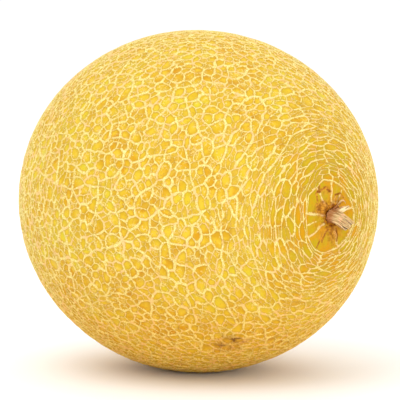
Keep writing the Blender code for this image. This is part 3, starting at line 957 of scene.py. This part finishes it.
print("corners with browning", sum(1 for vert in net.verts if vert[brown] > 0.05))

# %% [markdown]
# ## The finished fruit
#
# The mesh becomes an object with its place in the mesh itself. Besides the colour attributes it gets a
# UV map: each face goes to one of six squares, by the side of a cube that it looks at from the fruit's
# middle. Seen from there hardly any face hides another, so they don't share places on the map.

# %% The fruit's object
UV_MARGIN = 0.012
SQUARE = (1.0 / 3.0, 1.0 / 2.0)
# The two directions across each axis of the cube
CUBE_SIDES = ((1, 2), (2, 0), (0, 1))


def cube_place(unit, axis, sign):
    """Place in one of six squares of a direction from the fruit's middle, seen on that side of a cube."""
    depth = unit[axis] * sign
    flat = [math.atan2(unit[number], depth) / (math.pi / 2.0) + 0.5 for number in CUBE_SIDES[axis]]
    corner = (axis, 0 if sign > 0.0 else 1)
    return [(start + UV_MARGIN + value * (1.0 - 2.0 * UV_MARGIN)) * length
            for start, value, length in zip(corner, flat, SQUARE)]


uv_map = net.loops.layers.uv.new("OFBake")
for face in net.faces:
    middle = face.calc_center_median().normalized()
    axis = max(range(3), key=lambda number: abs(middle[number]))
    sign = 1.0 if middle[axis] > 0.0 else -1.0
    for loop in face.loops:
        loop[uv_map].uv = cube_place(loop.vert.co.normalized(), axis, sign)
bmesh.ops.translate(net, verts=net.verts, vec=FRUIT_CENTRE)
fruit = mesh_object("netted_fruit", net)
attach(fruit, "root")
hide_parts("melon")
print("fruit", len(fruit.data.vertices), "corners", len(fruit.data.polygons), "faces")

# %% [markdown]
# ## The rind
#
# The skin of the melon is a living rind with a thin wax on it: satin, golden, mottled in patches as wide
# as a fingertip, and a little different from cell to cell. The net is cork, the same stuff as on a bottle:
# matt, cream to tan, finely grained. They could be two materials on two sets of faces, but a border that
# follows faces looks cut with scissors. The cork grows out of the skin, so both are one material, and an
# attribute from the modelling says how deep inside a rib each point lies. Noise frays that border.

# %% Where cork is and where skin is
SKIN_IOR = 1.44
# How long the fine and the wide wobbles of the cork's border are, judged from the photograph
FRAY, WIDE_FRAY = 0.8 * MM, 2.6 * MM
# The setting of each range that changes smoothly instead of evenly
SMOOTH = {"interpolation_type": "SMOOTHSTEP"}

# Wax gives soft, dim highlights; cork has none, and its roughness is set further down
rind, rind_shader = new_material("waxy rind with a cork net", 0.42, SKIN_IOR, 0.12)
tree = rind.node_tree
place = add_node(tree, "ShaderNodeTexCoord").outputs["Object"]
inside_amount, tone_amount, brown_amount, crack_amount, stem_near = [
    add_node(tree, "ShaderNodeAttribute", {"attribute_name": name}).outputs["Fac"]
    for name in ("inside", "tone", "brown", "crack", "near_stem")]

# The border of the cork wanders by up to 0.4 mm, less near the stem, so thin ribs break up in places
fray_noise = add_node(tree, "ShaderNodeTexNoise", None, {"Vector": place, "Scale": 1.0 / FRAY, "Detail": 3.0})
frayed = add_node(tree, "ShaderNodeMapRange", None, {
    "Value": fray_noise, "From Min": 0.25, "From Max": 0.75, "To Min": -0.26, "To Max": 0.26})
calmer = add_node(tree, "ShaderNodeMapRange", None, {"Value": stem_near, "To Min": 1.0, "To Max": 0.6})
fray = add_node(tree, "ShaderNodeMath", {"operation": "MULTIPLY"}, {0: frayed, 1: calmer})
wide_noise = add_node(tree, "ShaderNodeTexNoise", None, {"Vector": place, "Scale": 1.0 / WIDE_FRAY})
wide_fray = add_node(tree, "ShaderNodeMapRange", None, {
    "Value": wide_noise, "From Min": 0.3, "From Max": 0.7, "To Min": -0.12, "To Max": 0.12})
frayed_once = add_node(tree, "ShaderNodeMath", {"operation": "ADD"}, {0: inside_amount, 1: fray})
border = add_node(tree, "ShaderNodeMath", {"operation": "ADD"}, {0: frayed_once, 1: wide_fray})
rib = add_node(tree, "ShaderNodeMapRange", SMOOTH, {"Value": border, "From Min": -0.02, "From Max": 0.20})
print("border of the cork:", len(tree.nodes), "nodes")

# %% The patterns of the rind
# Each pattern is a noise seen through a smooth range: its size in mm, its detail, the two ends of the
# range, and the most that it gives. Patches of colour are as wide as a fingertip, and mottling is about
# as large as a cell. Real pits in cork are finer; a pixel of the picture is 0.4 mm, so they are coarser.
PATTERNS = {
    "patches": (16.0, 1.0, 0.35, 0.65, 1.0),
    "mottles": (3.5, 3.0, 0.35, 0.65, 1.0),
    "stem mottles": (6.0, 2.0, 0.40, 0.60, 1.0),
    "begun": (3.0, 2.0, 0.50, 0.62, 0.7),
    "pink": (3.5, 2.0, 0.48, 0.64, 0.8),
    "pits": (0.7, 1.0, 0.63, 0.72, 0.55),
    "tans": (1.6, 4.0, 0.38, 0.62, 1.0),
}
pattern = {}
for name, (size, detail, low, high, most) in PATTERNS.items():
    noise = add_node(tree, "ShaderNodeTexNoise", None, {
        "Vector": place, "Scale": 1.0 / (size * MM), "Detail": detail})
    pattern[name] = add_node(tree, "ShaderNodeMapRange", SMOOTH, {
        "Value": noise, "From Min": low, "From Max": high, "To Max": most})
print("with", len(pattern), "patterns:", len(tree.nodes), "nodes")

# %% Cracks that have only begun to cork
# Lines of a bent Voronoi pattern, in some stretches of skin, beside a rib and not round the stem
FINE_CRACKS, CRACK_BEND = 1.5 * MM, 0.0012

bending = add_node(tree, "ShaderNodeTexNoise", None, {"Vector": place, "Scale": 1.0 / FRAY}).outputs["Color"]
bent_place = add_node(tree, "ShaderNodeMix", {"data_type": "VECTOR"}, {0: CRACK_BEND, 4: place, 5: bending})
crackle = add_node(tree, "ShaderNodeTexVoronoi", {"feature": "DISTANCE_TO_EDGE"}, {
    "Vector": bent_place.outputs[1], "Scale": 1.0 / FINE_CRACKS})
thin_lines = add_node(tree, "ShaderNodeMapRange", SMOOTH, {
    "Value": crackle.outputs["Distance"], "From Min": 0.12, "From Max": 0.04})
away_from_stem = add_node(tree, "ShaderNodeMapRange", SMOOTH, {
    "Value": stem_near, "From Min": 0.3, "From Max": 0.9, "To Min": 1.0, "To Max": 0.0})
beside_rib = add_node(tree, "ShaderNodeMapRange", SMOOTH, {
    "Value": border, "From Min": -2.4, "From Max": -1.2})
begun = thin_lines
for limit in (pattern["begun"], away_from_stem, beside_rib):
    begun = add_node(tree, "ShaderNodeMath", {"operation": "MULTIPLY"}, {0: begun, 1: limit})
is_cork = add_node(tree, "ShaderNodeMath", {"operation": "MAXIMUM"}, {0: rib, 1: begun})
print("with the begun cracks:", len(tree.nodes), "nodes")

# %% The golden skin
# The two colour inputs of a Mix node are its numbers 6 and 7
MIX, TINT = {"data_type": "RGBA"}, {"data_type": "RGBA", "blend_type": "MULTIPLY"}

gold = add_node(tree, "ShaderNodeMix", MIX, {
    0: pattern["patches"], 6: linear("#D2A220"), 7: linear("#D8C430")})
each_cell = add_node(tree, "ShaderNodeMix", TINT, {0: tone_amount, 6: gold, 7: linear("#FBE6C0")})
mottled = add_node(tree, "ShaderNodeMix", MIX, {0: pattern["mottles"], 6: each_cell, 7: linear("#DEBA32")})
# Round the stem the skin is stretched least, and its gold is deepest, in some places towards olive
deep = add_node(tree, "ShaderNodeMix", MIX, {
    0: pattern["stem mottles"], 6: linear("#CE9206"), 7: linear("#BE9E0A")})
deeper = add_node(tree, "ShaderNodeMix", MIX, {0: stem_near, 6: mottled, 7: deep})
# Painted shade: the skin just beside each rib is darkened towards a dull olive-brown, as in the shade at the
# rib's foot
painted_rib_shade = add_node(tree, "ShaderNodeMapRange", SMOOTH, {
    "Value": border, "From Min": -0.50, "From Max": -0.05, "To Max": 0.5})
skin = add_node(tree, "ShaderNodeMix", MIX, {0: painted_rib_shade, 6: deeper, 7: linear("#C49A3C")})
print("with the skin:", len(tree.nodes), "nodes")

# %% The cork
# Real cork grain is about 0.1 mm; it is drawn coarser, because a pixel of the picture is 0.4 mm
GRAIN = 0.45 * MM

grain = add_node(tree, "ShaderNodeTexNoise", None, {"Vector": place, "Scale": 1.0 / GRAIN, "Detail": 3.0})
grained = add_node(tree, "ShaderNodeMapRange", SMOOTH, {"Value": grain, "From Min": 0.3, "From Max": 0.7})
cream = add_node(tree, "ShaderNodeMix", MIX, {0: grained, 6: linear("#DDBE62"), 7: linear("#F7E89E")})
cork = add_node(tree, "ShaderNodeMix", MIX, {0: pattern["pink"], 6: cream, 7: linear("#EEC486")})
both = add_node(tree, "ShaderNodeMix", MIX, {0: is_cork, 6: skin, 7: cork})
pitted = add_node(tree, "ShaderNodeMix", MIX, {0: pattern["pits"], 6: both, 7: linear("#B8863C")})
print("with the cork:", len(tree.nodes), "nodes")

# %% The riper, shaded lower side, the browning and the cracks
RIPER_AND_SHADED_BELOW, RIPEST_AND_DARKEST_BELOW = 60.0 * MM, 5.0 * MM

# The lower side is more orange and darker: partly the riper side that the fruit lay on while it grew, partly
# painted shade of the lower side
height = add_node(tree, "ShaderNodeSeparateXYZ", None, {"Vector": place}).outputs["Z"]
low_down = add_node(tree, "ShaderNodeMapRange", SMOOTH, {
    "Value": height, "From Min": RIPER_AND_SHADED_BELOW, "From Max": RIPEST_AND_DARKEST_BELOW})
riper_and_shaded = add_node(tree, "ShaderNodeMix", TINT, {0: low_down, 6: pitted, 7: linear("#FFECC2")})
tan = add_node(tree, "ShaderNodeMix", MIX, {0: pattern["tans"], 6: linear("#94520E"), 7: linear("#D08C2A")})
browned = add_node(tree, "ShaderNodeMix", MIX, {0: brown_amount, 6: riper_and_shaded, 7: tan})
# Browned skin is dead and dry, so it splits into the same fine pattern, and open cracks look dark brown
dry = add_node(tree, "ShaderNodeMapRange", None, {"Value": brown_amount, "From Min": 0.2, "To Max": 0.55})
splits = add_node(tree, "ShaderNodeMath", {"operation": "MULTIPLY"}, {0: thin_lines, 1: dry})
cracks = add_node(tree, "ShaderNodeMath", {"operation": "MAXIMUM"}, {0: splits, 1: crack_amount})
cracked = add_node(tree, "ShaderNodeMapRange", None, {
    "Value": cracks, "From Min": 0.1, "From Max": 0.9, "To Max": 0.85})
finished = add_node(tree, "ShaderNodeMix", MIX, {0: cracked, 6: browned, 7: linear("#693608")})
tree.links.new(finished.outputs[2], rind_shader.inputs["Base Color"])

# Cork is rougher than skin, stands out at its border and is grained
rough = add_node(tree, "ShaderNodeMapRange", None, {"Value": is_cork, "To Min": 0.40, "To Max": 0.80})
tree.links.new(rough.outputs["Result"], rind_shader.inputs["Roughness"])
raised = add_node(tree, "ShaderNodeMath", {"operation": "MULTIPLY"}, {0: is_cork, 1: 0.8})
relief = add_node(tree, "ShaderNodeMath", {"operation": "MULTIPLY_ADD"}, {0: grain, 1: 0.6, 2: raised})
bump = add_node(tree, "ShaderNodeBump", None, {"Strength": 0.6, "Distance": 0.16 * MM, "Height": relief})
tree.links.new(bump.outputs["Normal"], rind_shader.inputs["Normal"])
fruit.data.materials.append(rind)
print("rind:", len(tree.nodes), "nodes")

# %% [markdown]
# ## The dry stem
#
# The stub was cut when the fruit was picked and has dried since: a bundle of woody fibres with deep
# grooves between them, bent down and torn at its end. The core is pulled ring by ring along a curve, from
# a circle with its cap. Each loose fibre is pulled the same way along a line of its own on the core, and
# lifts off it towards its end. A peel of bark and a small hook stand out at the upper side. The fibres
# have a seeded generator of their own, so they stay the same when the net changes.

# %% The core of the stub
STEM_ROUTE = [Vector(spot) * MM for spot in (
    (-1.3, 0.6, 0.0), (1.3, 1.2, -0.4), (2.7, 2.2, -1.4), (3.8, 3.4, -2.6), (4.6, 4.6, -3.8))]
STEM_RADII = [radius * MM for radius in (3.1, 2.9, 2.8, 2.6, 2.2)]
STEM_FLATNESS = 0.88
CORE_SIDES, CORE_RINGS, CORE_HUE = 90, 36, 0.5
# Cracks in the core: the turn of each in radians, and its depth as a share of the radius
CORE_CRACKS = ((3.9, 0.5), (5.3, 0.45), (1.1, 0.35), (0.1, 0.35), (2.6, 0.3))
STEM_GAP = 0.3 * MM
# The hue of a fibre also shifts its pattern of streaks, so that no two fibres share one
PATTERN_SHIFT = 0.01
seat_radius = fruit_radius(direction(0.0, SEAT_ANGLE))
SEAT = Vector((seat_radius * math.cos(math.radians(SEAT_ANGLE)) + STEM_GAP, 0.0, 0.0))


def along_route(route, radii, share):
    """Point, heading and radius at a share of the way along a smooth curve through the route's points."""
    place = share * (len(route) - 1)
    index = min(int(place), len(route) - 2)
    part = place - index
    start, end = route[index], route[index + 1]
    before = route[max(index - 1, 0)]
    after = route[min(index + 2, len(route) - 1)]
    leave, arrive = (end - before) * 0.5, (after - start) * 0.5
    squared, cubed = part * part, part ** 3
    point = (start * (2 * cubed - 3 * squared + 1) + leave * (cubed - 2 * squared + part)
             + end * (3 * squared - 2 * cubed) + arrive * (cubed - squared))
    heading = (start * (6 * squared - 6 * part) + leave * (3 * squared - 4 * part + 1)
               + end * (6 * part - 6 * squared) + arrive * (3 * squared - 2 * part))
    radius = radii[index] * (1 - part) + radii[index + 1] * part
    return point, heading.normalized(), radius


def across_route(heading):
    """Two directions across a heading: one level, and one as far upwards as it can be."""
    thick = (Vector((0.0, 0.0, 1.0)) - heading * heading.z).normalized()
    return thick.cross(heading), thick


def pull_stem(mesh, route, radii, sides, rings, flatness, profile, hue):
    """A tapered stem with both ends closed, pulled ring by ring from a circle along a route."""
    cap = bmesh.ops.create_circle(mesh, cap_ends=True, radius=1.0, segments=sides)["verts"][0].link_faces[0]
    length, last = 0.0, None
    for level in range(rings):
        share = level / (rings - 1)
        if level:
            cap = bmesh.ops.extrude_discrete_faces(mesh, faces=[cap])["faces"][0]
        point, heading, radius = along_route(route, radii, share)
        length += (point - last).length if last else 0.0
        last = point
        wide, thick = across_route(heading)
        for index, vert in enumerate(cap.verts):
            turn = 2.0 * math.pi * index / sides
            aside = wide * math.cos(turn) + thick * (math.sin(turn) * flatness)
            vert.co = SEAT + point + aside * (radius * profile(turn, share))
            vert[fibre] = (math.cos(turn) * radii[0] + hue * PATTERN_SHIFT, math.sin(turn) * radii[0], length)
            vert[stem_hue] = hue
            vert[from_fruit] = length / MM
    bmesh.ops.holes_fill(mesh, edges=[edge for edge in mesh.edges if edge.is_boundary])
    bmesh.ops.poke(mesh, faces=[cap])


def core_profile(turn, share):
    """Share of the radius left at a turn and a share of the length: ridges, and deep cracks between them."""
    # Nine soft ridges twist along the stem, and finer ones lie on them
    twist = turn + 0.5 * share
    left = 1.0 - 0.10 * (0.5 - 0.5 * math.cos(9.0 * twist + 0.8 * math.sin(3.0 * turn)))
    for crack, deep in CORE_CRACKS:
        aside = math.degrees(math.acos(math.cos(turn - crack - 0.25 * math.sin(3.0 * share))))
        left -= deep * smooth_step(15.0, 4.0, aside) * smooth_step(0.1, 0.35, share)
    return left + 0.03 * math.sin(27.0 * twist + 2.0 * math.sin(4.0 * share))


stub = bmesh.new()
fibre = stub.verts.layers.float_vector.new("fibre")
groove = stub.verts.layers.float.new("groove")
stem_hue = stub.verts.layers.float.new("hue")
from_fruit = stub.verts.layers.float.new("from_fruit")
pull_stem(stub, STEM_ROUTE, STEM_RADII, CORE_SIDES, CORE_RINGS, STEM_FLATNESS, core_profile, CORE_HUE)
print("core of the stem", len(stub.verts), "corners")

# %% Loose fibres, the peel and the hook
FIBRE_SEED = 11
FIBRES, FIBRE_POINTS, FIBRE_SIDES, FIBRE_RINGS, FIBRE_FLATNESS = 22, 9, 8, 18, 0.75
FIBRE_HALF_WIDTHS = (0.26 * MM, 0.50 * MM)
# Where a fibre ends as a share of the stem's length, how much longer it is there, and how far it lifts off
FIBRE_ENDS, PAST_THE_END, FIBRE_LIFT = (0.70, 1.22), 7.0 * MM, (0.0, 1.1 * MM)
FIBRE_TWIST, FIBRE_SWAY, FIBRE_WOBBLE = 0.5, 0.35, 0.10
PEEL_ROUTE = [Vector(spot) * MM for spot in (
    (-0.4, 1.4, 1.0), (1.4, 1.8, 1.7), (2.3, 3.0, 2.3), (3.0, 4.6, 3.0), (3.3, 6.0, 3.5))]
PEEL_HALF_WIDTHS = [half * MM for half in (0.40, 0.46, 0.46, 0.42, 0.25)]
PEEL_SIDES, PEEL_FLATNESS, PEEL_HUE = 14, 2.3, 1.25
HOOK_ROUTE = [Vector(spot) * MM for spot in (
    (-0.9, 1.4, 2.2), (0.5, 2.7, 4.1), (1.0, 4.0, 5.6), (1.5, 5.2, 5.3), (1.3, 6.2, 4.2))]
HOOK_HALF_WIDTHS = [half * MM for half in (0.50, 0.40, 0.34, 0.30, 0.24)]
HOOK_SIDES, HOOK_FLATNESS, HOOK_HUE = 8, 0.8, 0.4


def fibre_profile(seed):
    """A loose fibre: thick where it leaves the fruit, uneven along its length and thin at its torn tip."""
    def profile(turn, share):
        taper = smooth_step(-0.25, 0.12, share) * (1.0 - 0.6 * smooth_step(0.55, 1.0, share))
        return taper * (1.0 + 0.16 * math.sin(2.0 * turn + seed) + 0.14 * wander(share * 9.0, seed))
    return profile


fibre_rng = random.Random(FIBRE_SEED)
for number in range(FIBRES):
    start_turn = 2.0 * math.pi * (number + fibre_rng.uniform(-0.3, 0.3)) / FIBRES
    end_share, lift = fibre_rng.uniform(*FIBRE_ENDS), fibre_rng.uniform(*FIBRE_LIFT)
    half, sway = fibre_rng.uniform(*FIBRE_HALF_WIDTHS), fibre_rng.uniform(-FIBRE_SWAY, FIBRE_SWAY)
    route = []
    for step in range(FIBRE_POINTS):
        part = step / (FIBRE_POINTS - 1)
        share = part * end_share
        point, heading, radius = along_route(STEM_ROUTE, STEM_RADII, min(share, 1.0))
        point = point + heading * (max(0.0, share - 1.0) * PAST_THE_END)
        wide, thick = across_route(heading)
        turn = start_turn + FIBRE_TWIST * share + sway * part * part
        turn += FIBRE_WOBBLE * wander(part * 5.0, number)
        # It starts just inside the core, follows it and lifts off towards its end
        reach = radius * 0.93 + lift * part ** 3 - 0.25 * MM * (1.0 - part)
        route.append(point + (wide * math.cos(turn) + thick * (math.sin(turn) * STEM_FLATNESS)) * reach)
    pull_stem(stub, route, [half] * FIBRE_POINTS, FIBRE_SIDES, FIBRE_RINGS, FIBRE_FLATNESS,
              fibre_profile(number), fibre_rng.random())
pull_stem(stub, PEEL_ROUTE, PEEL_HALF_WIDTHS, PEEL_SIDES, FIBRE_RINGS, PEEL_FLATNESS,
          fibre_profile(31.0), PEEL_HUE)
pull_stem(stub, HOOK_ROUTE, HOOK_HALF_WIDTHS, HOOK_SIDES, FIBRE_RINGS, HOOK_FLATNESS,
          fibre_profile(37.0), HOOK_HUE)
bmesh.ops.recalc_face_normals(stub, faces=stub.faces)

# The groove attribute says how deep a point lies between the fibres, as a share of the stem's radius
MIDDLE_STEPS = 40
middle_line = [along_route(STEM_ROUTE, STEM_RADII, step / MIDDLE_STEPS) for step in range(MIDDLE_STEPS + 1)]
for vert in stub.verts:
    away, radius = min(((vert.co - SEAT - point).length, radius) for point, _, radius in middle_line)
    vert[groove] = max(0.0, 1.0 - away / radius)
bmesh.ops.translate(stub, verts=stub.verts, vec=FRUIT_CENTRE)
stub_object = mesh_object("dry_stem_stub", stub)
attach(stub_object, "root")
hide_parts("stem")
print("stem", len(stub_object.data.vertices), "corners,", FIBRES, "loose fibres")

# %% [markdown]
# ## The stem's finish
#
# The stub is dead, dry plant fibre, like thin strips of weathered wood: quite matt, tan to straw, with a
# pinkish cast in places, and streaked along its fibres. Where it joins the fruit it is redder, and the
# depths between the fibres have painted shade. The streaks have to follow the bend of the stem, so they
# read the attribute that was written while it was pulled: across the stem, across it again, and along it.

# %% The stem's material
# One fibre is about 0.2 mm wide; the streaks are drawn coarser, because a pixel of the picture is 0.4 mm
STREAK, STREAK_LENGTHS, BLOTCH = 0.5 * MM, 10.0, 2.2 * MM

# Dry fibre scatters light: a rough surface with hardly any highlight
dry_stem, stem_shader = new_material("dry woody fibres", 0.8, 1.5, 0.25)
tree = dry_stem.node_tree
fibre_place = add_node(tree, "ShaderNodeAttribute", {"attribute_name": "fibre"}).outputs["Vector"]
depth, hue_amount, distance = [
    add_node(tree, "ShaderNodeAttribute", {"attribute_name": name}).outputs["Fac"]
    for name in ("groove", "hue", "from_fruit")]
stretched = add_node(tree, "ShaderNodeMapping", None, {
    "Vector": fibre_place, "Scale": (1.0, 1.0, 1.0 / STREAK_LENGTHS)})
streak_noise = add_node(tree, "ShaderNodeTexNoise", None, {
    "Vector": stretched, "Scale": 1.0 / STREAK, "Detail": 3.0})
blotch_noise = add_node(tree, "ShaderNodeTexNoise", None, {"Vector": fibre_place, "Scale": 1.0 / BLOTCH})
dull = add_node(tree, "ShaderNodeMix", MIX, {0: hue_amount, 6: linear("#BC9458"), 7: linear("#F4DAA6")})
blotches = add_node(tree, "ShaderNodeMapRange", SMOOTH, {
    "Value": blotch_noise, "From Min": 0.48, "From Max": 0.64})
pinkish = add_node(tree, "ShaderNodeMix", MIX, {0: blotches, 6: dull, 7: linear("#EAB88A")})
streaks = add_node(tree, "ShaderNodeMapRange", SMOOTH, {
    "Value": streak_noise, "From Min": 0.36, "From Max": 0.52})
streaked = add_node(tree, "ShaderNodeMix", MIX, {0: streaks, 6: linear("#966A36"), 7: pinkish})
# The collar where the stem joins the fruit is redder over its first 3.6 mm
collar = add_node(tree, "ShaderNodeMapRange", SMOOTH, {
    "Value": distance, "From Min": 3.6, "From Max": 1.4, "To Max": 0.7})
reddish = add_node(tree, "ShaderNodeMix", MIX, {0: collar, 6: streaked, 7: linear("#A65E24")})
# Painted shade: points that lie deep between the fibres are darkened to a dark brown
groove_shade_amount = add_node(tree, "ShaderNodeMapRange", SMOOTH, {"Value": depth, "From Min": 0.10, "From Max": 0.30})
shaded_in_grooves = add_node(tree, "ShaderNodeMix", MIX, {0: groove_shade_amount, 6: reddish, 7: linear("#4A2A12")})
tree.links.new(shaded_in_grooves.outputs[2], stem_shader.inputs["Base Color"])
stem_bump = add_node(tree, "ShaderNodeBump", None, {
    "Strength": 0.7, "Distance": 0.2 * MM, "Height": streak_noise})
tree.links.new(stem_bump.outputs["Normal"], stem_shader.inputs["Normal"])
stub_object.data.materials.append(dry_stem)
print("stem material:", len(tree.nodes), "nodes")
